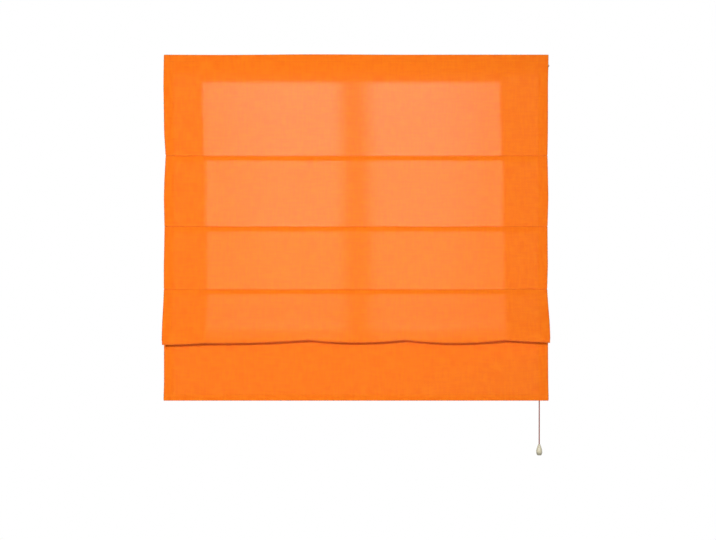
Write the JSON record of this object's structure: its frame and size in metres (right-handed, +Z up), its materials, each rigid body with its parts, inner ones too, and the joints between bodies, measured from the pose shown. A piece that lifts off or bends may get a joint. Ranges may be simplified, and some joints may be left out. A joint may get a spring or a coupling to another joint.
{
  "type": "roman blind",
  "caption": "Cord-operated roman blind, drawn up by a fold: sewn cloth on rods, taped to a slim head rail with a cord lock and swivel wall brackets.",
  "frame": {"origin": "centre of the rectangle of wall screw holes in the two brackets, on the wall plane", "axes": "+Z up, +Y into the wall, so the cloth faces -Y; +X along the rail towards the cord lock"},
  "size_m": [1.2055, 0.0743, 1.2544],
  "materials": {
    "rail_white": "satin white powder coat",
    "tape_white": "woven hook and loop tape",
    "plastic_white": "fine moulded grain",
    "screw_dark": "blackened",
    "steel_plated": "zinc plated",
    "plastic_ivory": "semi-matt moulded",
    "brass_pin": "knurled",
    "cloth_orange": "plain weave, lets light through",
    "rod_white": "glass fibre rod",
    "ring_plastic": "glossy",
    "bar_metal": "mill finish",
    "cord_fibre": "braided",
    "pull_ivory": "glossy ivory"
  },
  "bodies": {
    "blind": {"head_rail": "rail_white", "hook_tape": "tape_white", "loop_tape": "tape_white", "end_cap_left": "plastic_white", "end_cap_right": "plastic_white", "end_cap_screws": "screw_dark", "bracket_left": "steel_plated", "bracket_right": "steel_plated", "clamp_rivet_left": "steel_plated", "clamp_rivet_right": "steel_plated", "lock_axle": "steel_plated", "cord_guide_1": "plastic_ivory", "cord_guide_2": "plastic_ivory", "cord_guide_3": "plastic_ivory", "cord_guide_4": "plastic_ivory", "cord_lock_body": "plastic_ivory", "cord_stops": "plastic_ivory", "joiner_top": "plastic_ivory", "joiner_bottom": "plastic_ivory", "blind_cloth": "cloth_orange", "rod_1": "rod_white", "rod_2": "rod_white", "rod_3": "rod_white", "rod_4": "rod_white", "rings_1": "ring_plastic", "rings_2": "ring_plastic", "rings_3": "ring_plastic", "rings_4": "ring_plastic", "weight_bar": "bar_metal", "lift_cord_1": "cord_fibre", "lift_cord_2": "cord_fibre", "lift_cord_3": "cord_fibre", "lift_cord_4": "cord_fibre", "pull_cord": "cord_fibre", "cord_pull": "pull_ivory"},
    "clamp_left": {"clamp_lever_left": "plastic_white"},
    "clamp_right": {"clamp_lever_right": "plastic_white"},
    "roller": {"lock_roller": "plastic_ivory"},
    "pin": {"lock_pin": "brass_pin"}
  },
  "joints": [
    {"name": "clamp_left_turn", "type": "hinge", "parent": "blind", "child": "clamp_left", "pos_m": [-0.45, -0.028, 0.0205], "axis": [0, 0, 1], "range_deg": [0, 90]},
    {"name": "clamp_right_turn", "type": "hinge", "parent": "blind", "child": "clamp_right", "pos_m": [0.45, -0.028, 0.0205], "axis": [0, 0, 1], "range_deg": [0, 90]},
    {"name": "roller_spin", "type": "hinge", "parent": "blind", "child": "roller", "pos_m": [0.5675, -0.0279, -0.002], "axis": [0, 1, 0], "continuous": true},
    {"name": "pin_slide", "type": "slide", "parent": "blind", "child": "pin", "axis": [-0.866, 0, 0.5], "range_m": [0, 0.005]}
  ]
}
